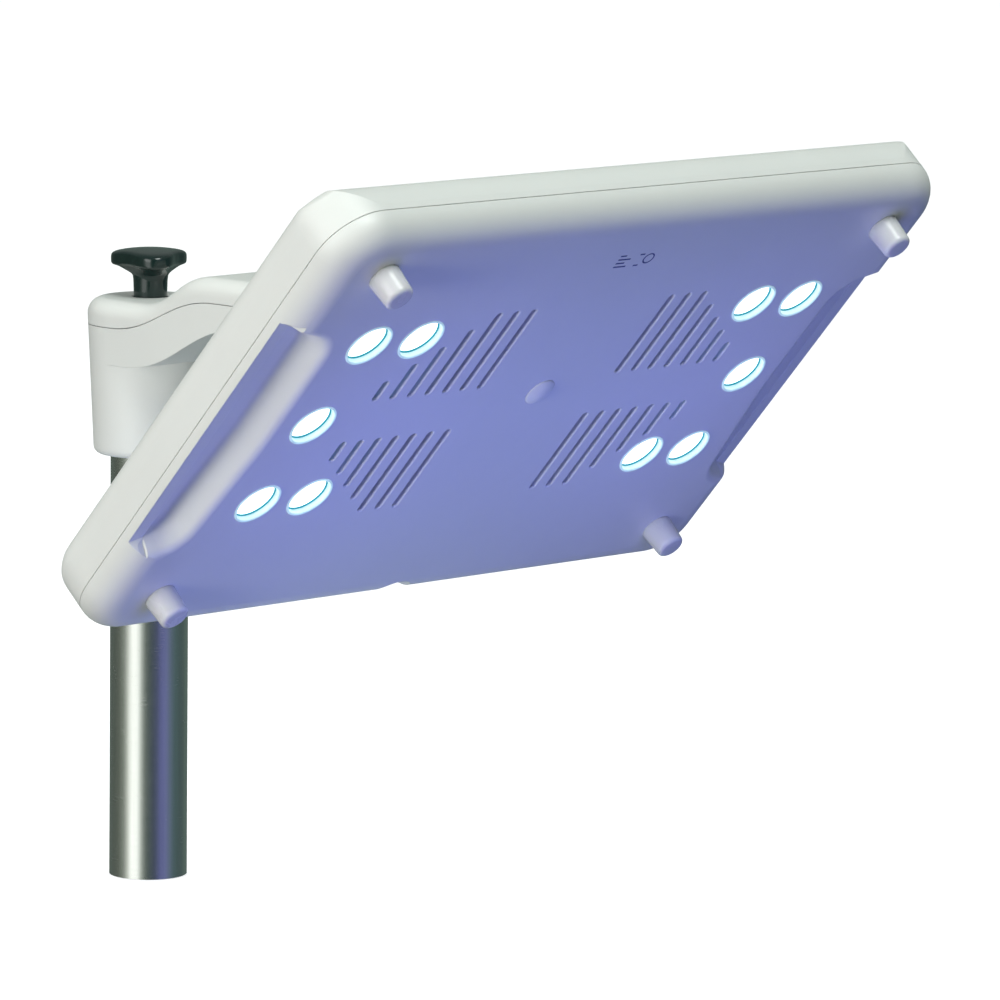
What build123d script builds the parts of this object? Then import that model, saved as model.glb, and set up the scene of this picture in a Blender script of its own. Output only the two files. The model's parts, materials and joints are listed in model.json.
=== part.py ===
from build123d import *
from math import atan, cos, degrees, radians, sin
import os

# Operating light on a pole: a flat, tilting light head, an S-shaped swivel arm and a clamp knob.
# Millimetres. The origin is on the pole's axis at its lower end, +Z up, and the arm points along -Y.

# ------------------------------------------------------------------ driving dimensions
running = 0.05                      # radial clearance of a turning fit
wall = 2.5                          # moulded cover thickness
cover_gap = 0.3                     # open joint line between two arm covers

pole_radius = 19.05                 # 38.1 mm tube
pole_wall = 2.0
pole_top = 255.0
journal_radius = 18.75              # turned down inside the arm's collar
plug_radius = 17.35                 # bored out for the plug

collar_bottom = 208.0
collar_radius = 27.2                # at its lower end
collar_slope = 2.72                 # degrees each side, wider upwards
collar_edge = 4.0                   # rounding of its lower rim
arm_end = 190.0                     # covers end here, measured from the pole axis
arm_edge = 8.0
# each S-bend of the arm in side view: height at the pole, where it starts and ends along the arm, rise
arm_top, top_start, top_finish, top_lift = 284.6, 20.0, 70.0, 17.0
joint_line, joint_start, joint_finish, joint_lift = 271.4, 4.0, 76.0, 18.3
beam_bottom, beam_start, beam_finish, beam_lift = 253.3, 12.0, 96.0, 25.0
arm_high, arm_half_space = 340.0, 60.0   # working space around the arm

head_tilt = 48.0                    # degrees, front edge raised
head_width, head_depth, head_height = 396.0, 268.0, 40.0
head_corner = 25.0
head_low_edge, head_high_edge = 14.0, 12.0
head_front_edge = 22.0              # softer rounding along the front of the top
dome_out, dome_corner, dome_edge = 14.5, 61.0, 26.0   # larger rounded form that softens the top corners
head_parting = 14.5
parting_groove, groove_depth = 0.35, 0.5
head_centre = (0.0, -255.3, 254.6)  # middle of the flat underside
hinge_height = 58.0                 # tilt axis above the underside

window_radius, window_wall = 11.5, 3.1
window_pitch = 52.6
window_row = -6.8
window_columns = (142.5, 110.0)
foot_x, foot_y, foot_height = 164.5, 106.0, 14.0
foot_base, foot_tip, foot_round = 7.8, 6.9, 2.0
slot_start, slot_pitch, slot_count, slot_width = 45.5, 11.2, 7, 3.2
slot_row, slot_inner, slot_outer, slot_step = -5.3, 14.0, 66.7, 10.0
slot_edge = 0.6
cap_row, cap_plug = -11.5, 4.0
grip_inner, grip_outer, grip_far = 167.0, 190.0, 228.0
grip_front, grip_bend, grip_rear = -64.0, 5.0, 71.0
grip_lean, grip_flare = 7.0, 0.33   # inner edge leans out behind its bend; the ends flare outwards
grip_depth, grip_slope = 14.0, 22.0
grip_round, grip_mouth, grip_floor, bend_round = 16.0, 5.0, 4.0, 100.0
grip_rim, rim_front, rim_rear, rim_run = 9.5, -78.0, 81.0, 11.0
scoop_radius = 13.0
switch_x, switch_y = 96.0, 90.0
switch_width, switch_length = 13.0, 19.5
inlet_low, inlet_width, inlet_height, inlet_length = 4.0, 12.0, 9.0, 13.0

knob_stem, knob_reach = 8.2, 20.0
knob_turned = 235.0                 # direction of one lobe when clamped, degrees from +X
knob_under, knob_rim, knob_side, knob_top = 295.6, 298.3, 305.0, 308.3
stud_radius = 4.0
pin_radius = 6.0
barrel_radius, barrel_half = 14.0, 20.0
washer_thick = 1.5
ear_thick = 4.0

board_thick = 1.6
lens_thick, lens_radius = 2.5, 13.0
reflector_height = 7.0

# ------------------------------------------------------------------ shared planes and places
tilt = radians(head_tilt)
head = Plane(origin=head_centre, x_dir=(1, 0, 0), z_dir=(0, sin(tilt), cos(tilt)))
head_axis = Axis(head.origin, head.z_dir)
head_side = Plane(origin=head.origin, x_dir=head.y_dir, z_dir=head.x_dir)
hinge_centre = head.offset(hinge_height).origin
hinge_s, hinge_z = -hinge_centre.Y, hinge_centre.Z

windows = [(side * x, window_row + row * window_pitch) for side in (-1, 1)
           for x, rows in zip(window_columns, ((-1, 0, 1), (-1, 1))) for row in rows]
slots = []
for index in range(slot_count):
    slot_end = slot_outer - slot_step * max(0, index - 2)
    for across_side in (-1, 1):
        for along_side in (-1, 1):
            place = (across_side * (slot_start + slot_pitch * index),
                     slot_row + along_side * (slot_end + slot_inner) / 2)
            slots.append((place, slot_end - slot_inner))
feet = [(x, y) for x in (-foot_x, foot_x) for y in (-foot_y, foot_y)]
shell_bolts = [(x, y) for x in (-138.0, -52.0, 52.0, 138.0) for y in (-112.0, 112.0)]
bracket_bolts = [(x, y) for x in (-33.0, 33.0) for y in (-13.0, 9.0)]

inlet_y = head_depth / 2 - scoop_radius - wall
inlet_face = Plane(origin=head.from_local_coords((0, inlet_y + wall, inlet_low + inlet_height / 2)),
                   x_dir=head.x_dir, z_dir=head.y_dir)

lens_bottom = window_wall
board_bottom = lens_bottom + lens_thick + reflector_height
sink_bottom = board_bottom + board_thick
chassis_top = head_height - wall
chassis_thick = 3.0
chassis_bottom = chassis_top - chassis_thick
bracket_thick = 3.0
web_bottom = pole_top + 5.0
web_top = web_bottom + 6.0
seat_top = 279.0
parts_folder = "parts"
os.makedirs(parts_folder, exist_ok=True)


def save(piece, label):
    """Label a finished piece and write it as its own STEP file."""
    piece.label = label
    export_step(piece, f"{parts_folder}/{label}.step")


# ------------------------------------------------------------------ pole
plug_length, plug_flange = 25.0, 3.0
step_gap = 1.0                      # the turned steps start this far outside what they take
with BuildPart() as pole_tube:
    with BuildSketch(Plane.XY):
        Circle(pole_radius)
    extrude(amount=collar_bottom - step_gap)
    with BuildSketch(Plane.XY):
        Circle(journal_radius)
    extrude(amount=pole_top)
    with BuildSketch(Plane.XY):
        Circle(pole_radius - pole_wall)
    extrude(amount=pole_top, mode=Mode.SUBTRACT)
    with BuildSketch(Plane.XY.offset(pole_top)):
        Circle(plug_radius)
    extrude(amount=-plug_length - step_gap, mode=Mode.SUBTRACT)

with BuildPart() as pole_plug:
    with BuildSketch(Plane.XY.offset(pole_top - plug_length)):
        Circle(plug_radius)
    extrude(amount=plug_length)
    with BuildSketch(Plane.XY.offset(pole_top)):
        Circle(journal_radius)
    extrude(amount=plug_flange)
    with BuildSketch(Plane.XY.offset(pole_top - plug_length)):
        Circle(stud_radius + running)
    extrude(amount=plug_length + plug_flange, mode=Mode.SUBTRACT)

with BuildPart() as thrust_washer:
    with BuildSketch(Plane.XY.offset(pole_top + plug_flange)):
        Circle(journal_radius)
        Circle(stud_radius + 1, mode=Mode.SUBTRACT)
    extrude(amount=web_bottom - pole_top - plug_flange)


# ------------------------------------------------------------------ arm
def bend_region(height, start, finish, lift, limit):
    """Side-view face between an S-bend line, which rises along the arm, and a straight limit line."""
    far, back = 260.0, 60.0         # beyond the arm's two ends
    middle = (start + finish) / 2
    first, last = (-start, height), (-finish, height + lift)
    with BuildSketch(Plane.YZ) as region:
        with BuildLine():
            Line((back, height), first)
            Spline(first, (-middle, height + lift / 2), last, tangents=((-1, 0), (-1, 0)))
            Polyline(last, (-far, height + lift), (-far, limit), (back, limit), (back, height))
        make_face()
    return region.sketch


def across(region, half_width):
    """A side-view face thickened evenly to both sides of the arm's middle plane."""
    return extrude(region, half_width, both=True, mode=Mode.PRIVATE)


def arm_envelope(inset):
    """Outer form of the arm, or its hollow when inset by the cover thickness."""
    radius = collar_radius - inset
    reach = arm_end - inset
    under = bend_region(beam_bottom + inset, beam_start, beam_finish, beam_lift, arm_high)
    over = bend_region(arm_top - inset, top_start, top_finish, top_lift, collar_bottom + inset)
    with BuildPart() as envelope:
        with BuildSketch(Plane.XY.offset(collar_bottom)):
            Circle(radius)
            with Locations((0, -reach / 2)):
                Rectangle(2 * radius, reach)
        extrude(amount=arm_high - collar_bottom, taper=-collar_slope)
        add(across(under, arm_half_space), mode=Mode.INTERSECT)
        with BuildSketch(Plane.XZ.offset(reach)):
            Rectangle(2 * arm_half_space, 2 * arm_high)
        extrude(amount=arm_half_space, mode=Mode.SUBTRACT)
        with BuildSketch(Plane.XY.offset(collar_bottom)):
            Circle(radius)
        extrude(amount=arm_high - collar_bottom, taper=-collar_slope)
        add(across(over, arm_half_space), mode=Mode.INTERSECT)
        upper = envelope.edges().filter_by(lambda edge: edge.center().Z > arm_top - inset - 1)
        sides = upper.filter_by(lambda edge: abs(edge.center().X) > radius / 2)
        sides = sides.filter_by(lambda edge: edge.center().Y > 1 - reach)
        back = upper.filter_by(lambda edge: edge.center().Y > radius * 0.9)
        fillet(sides + back, arm_edge - inset)
        if inset == 0:
            fillet(envelope.edges().group_by(Axis.Z)[0], collar_edge)
    return envelope.part


arm_outer = arm_envelope(0)
arm_inner = arm_envelope(wall)
above_joint = across(bend_region(joint_line + cover_gap, joint_start, joint_finish, joint_lift, arm_high),
                     arm_half_space)
below_joint = across(bend_region(joint_line, joint_start, joint_finish, joint_lift, collar_bottom - wall),
                     arm_half_space)

sleeve_radius, sleeve_bore = 23.8, 21.5
core_half, core_low, core_high = 16.0, 281.0, 298.0
cover_screws = (118.0, 168.0)       # distances along the arm
screw_radius, screw_head, screw_head_thick = 1.9, 3.6, 2.2
with BuildPart() as arm_core:
    with BuildSketch(Plane.XY.offset(collar_bottom + 5)):
        Circle(sleeve_radius)
    extrude(amount=web_top - collar_bottom - 5)
    with BuildSketch(Plane.YZ):
        with BuildLine():
            Polyline((0, web_bottom), (-24, web_bottom), (-52, web_bottom + 12), (-84, core_low),
                     (-hinge_s, core_low),
                     (-hinge_s, core_high), (-76, core_high), (-34, web_top + 10), (0, web_top + 10),
                     (0, web_bottom))
        make_face()
    extrude(amount=core_half, both=True)
    with BuildSketch(Plane.YZ):
        with Locations((-hinge_s, hinge_z)):
            Circle(barrel_radius)
    extrude(amount=barrel_half, both=True)
    with BuildSketch(Plane.XY.offset(web_top)):
        Circle(knob_stem + 0.8)
    extrude(amount=seat_top - web_top)
    with BuildSketch(Plane.XY.offset(seat_top)):
        Circle(knob_stem + 0.8)
    extrude(amount=arm_high - seat_top, mode=Mode.SUBTRACT)
    with BuildSketch(Plane.XY.offset(collar_bottom)):
        Circle(sleeve_bore)
    extrude(amount=web_bottom - collar_bottom, mode=Mode.SUBTRACT)
    with BuildSketch(Plane.XY.offset(collar_bottom)):
        Circle(stud_radius + 1)
    extrude(amount=arm_high - collar_bottom, mode=Mode.SUBTRACT)
    with BuildSketch(Plane.YZ.offset(-barrel_half)):
        with Locations((-hinge_s, hinge_z)):
            Circle(pin_radius + 2)
    extrude(amount=2 * barrel_half, mode=Mode.SUBTRACT)
    with BuildSketch(Plane.XY.offset(core_low)):
        with Locations(*[(0, -place) for place in cover_screws]):
            Circle(screw_radius + 0.4)
    extrude(amount=core_high - core_low, mode=Mode.SUBTRACT)

bush_length = 14.0


def swivel_bush(low):
    """Plain nylon bush between the pole and the arm's sleeve."""
    with BuildPart() as bush:
        with BuildSketch(Plane.XY.offset(low)):
            Circle(sleeve_bore)
            Circle(journal_radius + running, mode=Mode.SUBTRACT)
        extrude(amount=bush_length)
    return bush.part


with BuildPart() as tilt_bushes:
    for start, direction in ((-barrel_half, 1), (barrel_half, -1)):
        with BuildSketch(Plane.YZ.offset(start)):
            with Locations((-hinge_s, hinge_z)):
                Circle(pin_radius + 2)
                Circle(pin_radius + running, mode=Mode.SUBTRACT)
        extrude(amount=direction * bush_length)

with BuildPart() as tilt_washers:
    for start, direction in ((-barrel_half, -1), (barrel_half, 1)):
        with BuildSketch(Plane.YZ.offset(start)):
            with Locations((-hinge_s, hinge_z)):
                Circle(barrel_radius - 1.5)
                Circle(pin_radius + running, mode=Mode.SUBTRACT)
        extrude(amount=direction * (washer_thick - running))

boss_radius = 4.5
core_window = 0.4                   # free space where the core leaves the covers
with BuildPart() as arm_lower_cover:
    add(arm_outer)
    add(arm_inner, mode=Mode.SUBTRACT)
    add(below_joint, mode=Mode.INTERSECT)
    with BuildSketch(Plane.XY.offset(collar_bottom - 1)):
        Circle(pole_radius + 1)
    extrude(amount=wall + 5, mode=Mode.SUBTRACT)
    with BuildSketch(Plane.XZ.offset(arm_end - 2 * wall)):
        with Locations((0, (core_low + core_high) / 2)):
            Rectangle(2 * (core_half + core_window), core_high - core_low + 2 * core_window)
    extrude(amount=4 * wall, mode=Mode.SUBTRACT)
    with BuildSketch(Plane.XY.offset(beam_bottom + beam_lift)):
        with Locations(*[(0, -place) for place in cover_screws]):
            Circle(screw_head)
    extrude(amount=core_low - beam_bottom - beam_lift)
    with BuildSketch(Plane.XY.offset(beam_bottom + beam_lift)):
        with Locations(*[(0, -place) for place in cover_screws]):
            Circle(screw_radius + 0.3)
    extrude(amount=core_low - beam_bottom - beam_lift, mode=Mode.SUBTRACT)

with BuildPart() as arm_top_cover:
    add(arm_outer)
    add(arm_inner, mode=Mode.SUBTRACT)
    add(above_joint, mode=Mode.INTERSECT)
    with BuildSketch(Plane.XY.offset(core_high)):
        with Locations(*[(0, -place) for place in cover_screws]):
            Circle(boss_radius)
    extrude(amount=arm_top + top_lift - wall - core_high)
    with BuildSketch(Plane.XY.offset(core_high)):
        with Locations(*[(0, -place) for place in cover_screws]):
            Circle(screw_radius)
    extrude(amount=4, mode=Mode.SUBTRACT)
    with BuildSketch(Plane.XZ.offset(arm_end - 2 * wall)):
        with Locations((0, (core_low + core_high) / 2)):
            Rectangle(2 * (core_half + core_window), core_high - core_low + 2 * core_window)
    extrude(amount=4 * wall, mode=Mode.SUBTRACT)
    with BuildSketch(Plane.XY.offset(seat_top)):
        Circle(knob_stem + 0.6)
    extrude(amount=arm_high - seat_top, mode=Mode.SUBTRACT)

with BuildPart() as arm_cover_screws:
    with BuildSketch(Plane.XY.offset(beam_bottom + beam_lift - screw_head_thick)):
        with Locations(*[(0, -place) for place in cover_screws]):
            Circle(screw_head)
    extrude(amount=screw_head_thick)
    with BuildSketch(Plane.XY.offset(beam_bottom + beam_lift)):
        with Locations(*[(0, -place) for place in cover_screws]):
            Circle(screw_radius)
    extrude(amount=core_high + 4 - beam_bottom - beam_lift)

# ------------------------------------------------------------------ clamp knob
lobes = 3
lobe_round, lobe_blend, knob_body = 7.5, 4.0, 13.5
stem_bottom = seat_top + 1
with BuildPart() as clamp_knob:
    with BuildSketch(Plane.XZ):
        with BuildLine():
            Polyline((0, stem_bottom), (knob_stem, stem_bottom), (knob_stem + 0.3, knob_under),
                     (knob_reach, knob_rim), (knob_reach, knob_side))
            ThreePointArc((knob_reach, knob_side), (knob_reach * 0.6, knob_top - 1), (0, knob_top))
            Line((0, knob_top), (0, stem_bottom))
        make_face()
    revolve(axis=Axis.Z)
    with BuildSketch(Plane.XY.offset(stem_bottom)) as knob_plan:
        Circle(knob_body)
        with PolarLocations(knob_reach - lobe_round, lobes, start_angle=knob_turned):
            Circle(lobe_round)
        fillet(knob_plan.vertices(), lobe_blend)
    extrude(amount=knob_top - stem_bottom, mode=Mode.INTERSECT)
    with BuildSketch(Plane.XY.offset(stem_bottom)):
        Circle(stud_radius)
    extrude(amount=knob_under + 4 - stem_bottom, mode=Mode.SUBTRACT)

with BuildPart() as knob_stud:
    with BuildSketch(Plane.XY.offset(pole_top - plug_length + 4)):
        Circle(stud_radius)
    extrude(amount=knob_under + 4 - pole_top + plug_length - 4)

with BuildPart() as knob_washer:
    with BuildSketch(Plane.XY.offset(seat_top)):
        Circle(knob_stem)
        Circle(stud_radius, mode=Mode.SUBTRACT)
    extrude(amount=stem_bottom - seat_top)


# ------------------------------------------------------------------ light head covers
def corner_dome(inset):
    """Larger, rounder form that touches the head only at its four top corners."""
    grown = dome_out - inset
    with BuildPart() as dome:
        with BuildSketch(head.offset(inset - 1)):
            RectangleRounded(head_width + 2 * grown, head_depth + 2 * grown, dome_corner - inset)
        extrude(amount=head_height - 2 * inset + 2)
        fillet(dome.edges().group_by(head_axis)[-1], dome_edge - inset)
    return dome.part


def slab(inset, low_edge, high_edge):
    """Rounded box of the head, or its hollow when inset by the cover thickness."""
    dome = corner_dome(inset)
    with BuildPart() as block:
        with BuildSketch(head.offset(inset)):
            RectangleRounded(head_width - 2 * inset, head_depth - 2 * inset, head_corner - inset)
        extrude(amount=head_height - 2 * inset)
        fillet(block.edges().group_by(head_axis)[-1], high_edge)
        fillet(block.edges().group_by(head_axis)[0], low_edge)
        front, top, round_off = inset - head_depth / 2, head_height - inset, head_front_edge - inset
        middle = (1 - sin(radians(45))) * round_off      # halfway round the arc
        with BuildSketch(head_side.offset(-head_width)):
            with BuildLine():
                ThreePointArc((front, top - round_off), (front + middle, top - middle),
                              (front + round_off, top))
                Polyline((front + round_off, top), (front + round_off, top + high_edge),
                         (front - high_edge, top + high_edge), (front - high_edge, top - round_off),
                         (front, top - round_off))
            make_face()
        extrude(amount=2 * head_width, mode=Mode.SUBTRACT)
        add(dome, mode=Mode.INTERSECT)
    return block.part


def grip_outline(margin):
    """Plan of the finger recess on the +X side, with rounded inner corners and ends that flare outwards."""
    inner, front, rear = grip_inner - margin, grip_front - margin, grip_rear + margin
    front_flare = grip_flare * (grip_far - inner)
    rear_flare = grip_flare * (grip_far - inner - grip_lean)
    with BuildSketch(Plane.XY) as plan:
        with BuildLine():
            Polyline((inner, front), (grip_far, front - front_flare), (grip_far, rear + rear_flare),
                     (inner + grip_lean, rear), (inner, grip_bend), (inner, front))
        make_face()
        bend = plan.vertices().sort_by(lambda vertex: abs(vertex.Y - grip_bend))[0]
        fillet(bend, bend_round)
        corners = plan.vertices().filter_by(lambda vertex: abs(vertex.Y) > grip_rear / 2)
        fillet(corners, grip_round)
    return plan.sketch


def grip_pocket(side, margin):
    """Finger recess under one short side, with a rounded mouth; margin grows it into the hollow."""
    outline = grip_outline(margin)
    if side < 0:
        outline = mirror(outline, about=Plane.YZ, mode=Mode.PRIVATE)
    with BuildPart() as pocket:
        with BuildSketch(head):
            add(outline)
        extrude(amount=grip_depth + margin, taper=grip_slope)
        fillet(pocket.edges().group_by(head_axis)[-1], grip_floor)
        with BuildSketch(head):
            with Locations((side * head_width / 2, 0)):
                Rectangle(head_width / 2, 2 * head_depth)
        extrude(amount=-head_height)
        middles = [(edge, head.to_local_coords(edge.center())) for edge in pocket.edges()]
        mouth = [edge for edge, middle in middles
                 if abs(middle.Z) < 0.01 and abs(middle.Y) < 0.4 * head_depth
                 and abs(abs(middle.X) - head_width / 2) < head_width / 4 - 1]
        fillet(mouth, grip_mouth)
        if margin == 0:
            with BuildSketch(head.offset(grip_rim)):
                with Locations((side * (grip_outer + head_width / 4), 0)):
                    Rectangle(head_width / 2, head_depth)
            extrude(amount=grip_depth, mode=Mode.SUBTRACT)
        first, last = rim_front - margin, rim_rear + margin
        top = grip_rim + margin
        with BuildSketch(head_side.offset(side * (grip_outer - margin))):
            with BuildLine():
                Spline((first, 0), (first + rim_run, top), tangents=((1, 0), (1, 0)))
                Line((first + rim_run, top), (last - rim_run, top))
                Spline((last - rim_run, top), (last, 0), tangents=((1, 0), (1, 0)))
                Polyline((last, 0), (last, -head_height), (first, -head_height), (first, 0))
            make_face()
        extrude(amount=side * (grip_far - grip_outer + margin))
    return pocket.part


def rear_scoop(margin):
    """Half-round thumb notch in the middle of the rear edge, narrowing upwards."""
    with BuildPart() as scoop:
        with BuildSketch(head.offset(-1)):
            with Locations((0, head_depth / 2)):
                Circle(scoop_radius + margin)
        extrude(amount=20 + margin, taper=10)
    return scoop.part


head_outer = slab(0, head_low_edge, head_high_edge)
head_inner = slab(wall, head_low_edge - wall, head_high_edge - wall)
shell_boss, shell_counterbore, shell_seat = 6.0, 4.2, 31.0
seat_wall = 2.0                     # of the ring that centres each lens

with BuildPart() as head_hollow:
    add(head_inner)
    for side in (-1, 1):
        add(grip_pocket(side, wall), mode=Mode.SUBTRACT)
    add(rear_scoop(wall), mode=Mode.SUBTRACT)

with BuildPart() as front_shell:
    add(head_outer)
    add(head_hollow.part, mode=Mode.SUBTRACT)
    for side in (-1, 1):
        add(grip_pocket(side, 0), mode=Mode.SUBTRACT)
    add(rear_scoop(0), mode=Mode.SUBTRACT)
    with BuildSketch(head.offset(wall)):
        with Locations(*shell_bolts):
            Circle(shell_boss)
    extrude(amount=head_parting - wall)
    with BuildSketch(head.offset(wall)):
        with Locations(*windows):
            Circle(lens_radius + seat_wall)
    extrude(amount=window_wall - wall)
    with BuildSketch(head.offset(window_wall)):
        with Locations(*windows):
            Circle(lens_radius + seat_wall)
            Circle(lens_radius, mode=Mode.SUBTRACT)
    extrude(amount=lens_thick)
    split(bisect_by=head.offset(head_parting), keep=Keep.BOTTOM)
    with BuildSketch(head.offset(head_parting)):
        Rectangle(head_width + 1, head_depth + 1)
        RectangleRounded(head_width - 2 * groove_depth, head_depth - 2 * groove_depth,
                         head_corner - groove_depth, mode=Mode.SUBTRACT)
    extrude(amount=-parting_groove, mode=Mode.SUBTRACT)
    with BuildSketch(head):
        with Locations(*windows):
            Circle(window_radius)
    extrude(amount=window_wall, mode=Mode.SUBTRACT)
    with BuildSketch(head):
        with Locations(*feet):
            Circle(screw_radius + 0.3)
        with Locations((0, cap_row)):
            Circle(cap_plug)
        for place, length in slots:
            with Locations(place):
                SlotOverall(length, slot_width, rotation=90)
    extrude(amount=wall, mode=Mode.SUBTRACT)
    with BuildSketch(head):
        for place, length in slots:
            with Locations(place):
                SlotOverall(length + 2 * slot_edge, slot_width + 2 * slot_edge, rotation=90)
    extrude(amount=slot_edge, taper=45, mode=Mode.SUBTRACT)
    with BuildSketch(head.offset(wall + 2)):
        with Locations(*shell_bolts):
            Circle(screw_radius)
    extrude(amount=head_parting, mode=Mode.SUBTRACT)
    with BuildSketch(inlet_face):
        Rectangle(inlet_width, inlet_height)
    extrude(amount=-inlet_length, mode=Mode.SUBTRACT)

with BuildPart() as back_shell:
    add(head_outer)
    add(head_hollow.part, mode=Mode.SUBTRACT)
    add(rear_scoop(0), mode=Mode.SUBTRACT)
    with BuildSketch(head.offset(head_parting)):
        with Locations(*shell_bolts):
            Circle(shell_boss)
    extrude(amount=head_height - wall - head_parting)
    split(bisect_by=head.offset(head_parting), keep=Keep.TOP)
    with BuildSketch(head.offset(head_parting)):
        with Locations(*shell_bolts):
            Circle(screw_radius + 0.3)
    extrude(amount=head_height, mode=Mode.SUBTRACT)
    with BuildSketch(head.offset(shell_seat)):
        with Locations(*shell_bolts):
            Circle(shell_counterbore)
    extrude(amount=head_height, mode=Mode.SUBTRACT)
    with BuildSketch(head.offset(chassis_top)):
        with Locations(*bracket_bolts):
            Circle(2.8)
        with Locations((switch_x, switch_y)):
            Rectangle(switch_width, switch_length)
    extrude(amount=wall, mode=Mode.SUBTRACT)

# ------------------------------------------------------------------ feet and centre cap
foot_taper = (foot_base - foot_tip) / foot_height
with BuildPart() as stand_off_feet:
    with BuildSketch(head):
        with Locations(*feet):
            Circle(foot_base)
    extrude(amount=-foot_height, taper=degrees(atan(foot_taper)))
    fillet(stand_off_feet.edges().group_by(head_axis)[0], foot_round)
    with BuildSketch(head):
        with Locations(*feet):
            Circle(screw_radius)
    extrude(amount=-8, mode=Mode.SUBTRACT)


def headed_screws(places, shank_low, head_low, shank_radius, head_radius, head_thick):
    """A group of plain screws standing along the head's normal, heads on the back side."""
    with BuildPart() as screws:
        with BuildSketch(head.offset(shank_low)):
            with Locations(*places):
                Circle(shank_radius)
        extrude(amount=head_low - shank_low)
        with BuildSketch(head.offset(head_low)):
            with Locations(*places):
                Circle(head_radius)
        extrude(amount=head_thick)
        fillet(screws.edges().group_by(head_axis)[-1], head_thick / 3)
        with BuildSketch(head.offset(head_low + head_thick / 2)):
            with Locations(*places):
                RegularPolygon(head_radius * 0.45, 6)
        extrude(amount=head_thick, mode=Mode.SUBTRACT)
    return screws.part


cap_radius, cap_rise = 8.0, 2.5
cap_sphere = (cap_radius ** 2 + cap_rise ** 2) / (2 * cap_rise)
cap_side = Plane(origin=head.from_local_coords((0, cap_row, 0)), x_dir=head.x_dir, z_dir=-head.y_dir)
with BuildPart() as centre_cap:
    with BuildSketch(cap_side):
        with BuildLine():
            RadiusArc((0, -cap_rise), (cap_radius, 0), -cap_sphere)
            Polyline((cap_radius, 0), (cap_plug, 0), (cap_plug, wall + 3), (0, wall + 3), (0, -cap_rise))
        make_face()
    revolve(axis=Axis(cap_side.origin, head.z_dir))

# ------------------------------------------------------------------ light windows
with BuildPart() as window_lenses:
    with BuildSketch(head.offset(lens_bottom)):
        with Locations(*windows):
            Circle(lens_radius - 0.1)
    extrude(amount=lens_thick)

reflector_slope = 30.0              # degrees from the light's direction
with BuildPart() as reflectors:
    with BuildSketch(head.offset(lens_bottom + lens_thick)):
        with Locations(*windows):
            Circle(lens_radius + 1)
    extrude(amount=reflector_height, taper=reflector_slope)
    with BuildSketch(head.offset(lens_bottom + lens_thick)):
        with Locations(*windows):
            Circle(lens_radius)
    extrude(amount=reflector_height, taper=reflector_slope, mode=Mode.SUBTRACT)

emitter_half, emitter_thick = 2.6, 1.6
with BuildPart() as led_emitters:
    with BuildSketch(head.offset(board_bottom - emitter_thick)):
        with Locations(*windows):
            Rectangle(2 * emitter_half, 2 * emitter_half)
    extrude(amount=emitter_thick)
    chamfer(led_emitters.edges().group_by(head_axis)[0], 0.4)

board_inner, board_outer = 94.0, 158.0
board_front, board_rear = -76.0, 62.0
board_middle_x, board_middle_y = (board_inner + board_outer) / 2, (board_front + board_rear) / 2
board_width, board_length = board_outer - board_inner, board_rear - board_front


def led_board(side):
    """Metal-backed circuit board that carries the five emitters of one side."""
    with BuildPart() as board:
        with BuildSketch(head.offset(board_bottom)):
            with Locations((side * board_middle_x, board_middle_y)):
                RectangleRounded(board_width, board_length, 5)
        extrude(amount=board_thick)
    return board.part


sink_base, fin_top, fin_thick, fin_count = 3.0, 30.0, 1.6, 10
post_radius = 3.5


def heat_sink(side):
    """Finned aluminium plate on the back of one board, hung from the back cover on four posts."""
    with BuildPart() as sink:
        with BuildSketch(head.offset(sink_bottom)):
            with Locations((side * board_middle_x, board_middle_y)):
                Rectangle(board_width - 4, board_length - 4)
        extrude(amount=sink_base)
        with BuildSketch(head.offset(sink_bottom + sink_base)):
            with Locations((side * board_middle_x, board_middle_y)):
                with GridLocations((board_width - 4 - fin_thick) / (fin_count - 1), 1, fin_count, 1):
                    Rectangle(fin_thick, board_length - 30)
        extrude(amount=fin_top - sink_bottom - sink_base)
        with BuildSketch(head.offset(sink_bottom + sink_base)):
            with Locations((side * board_middle_x, board_middle_y)):
                with GridLocations(board_width - 14, board_length - 14, 2, 2):
                    Circle(post_radius)
        extrude(amount=chassis_top - sink_bottom - sink_base)
    return sink.part


# ------------------------------------------------------------------ chassis, fans and electronics
fan_x, fan_y, fan_half, fan_depth = 62.0, slot_row, 25.0, 15.0
fan_bore, fan_rotor, fan_hub, spindle = 23.5, 22.5, 9.0, 1.5
fan_low = chassis_bottom - 2 - fan_depth

with BuildPart() as chassis_plate:
    with BuildSketch(head.offset(chassis_bottom)):
        RectangleRounded(2 * (fan_x + fan_half + 4), 128, 8)
        with Locations((-fan_x, fan_y), (fan_x, fan_y)):
            Circle(fan_bore - 3.5, mode=Mode.SUBTRACT)
        with Locations(*bracket_bolts):
            Circle(2.5, mode=Mode.SUBTRACT)
    extrude(amount=chassis_thick)


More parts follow.
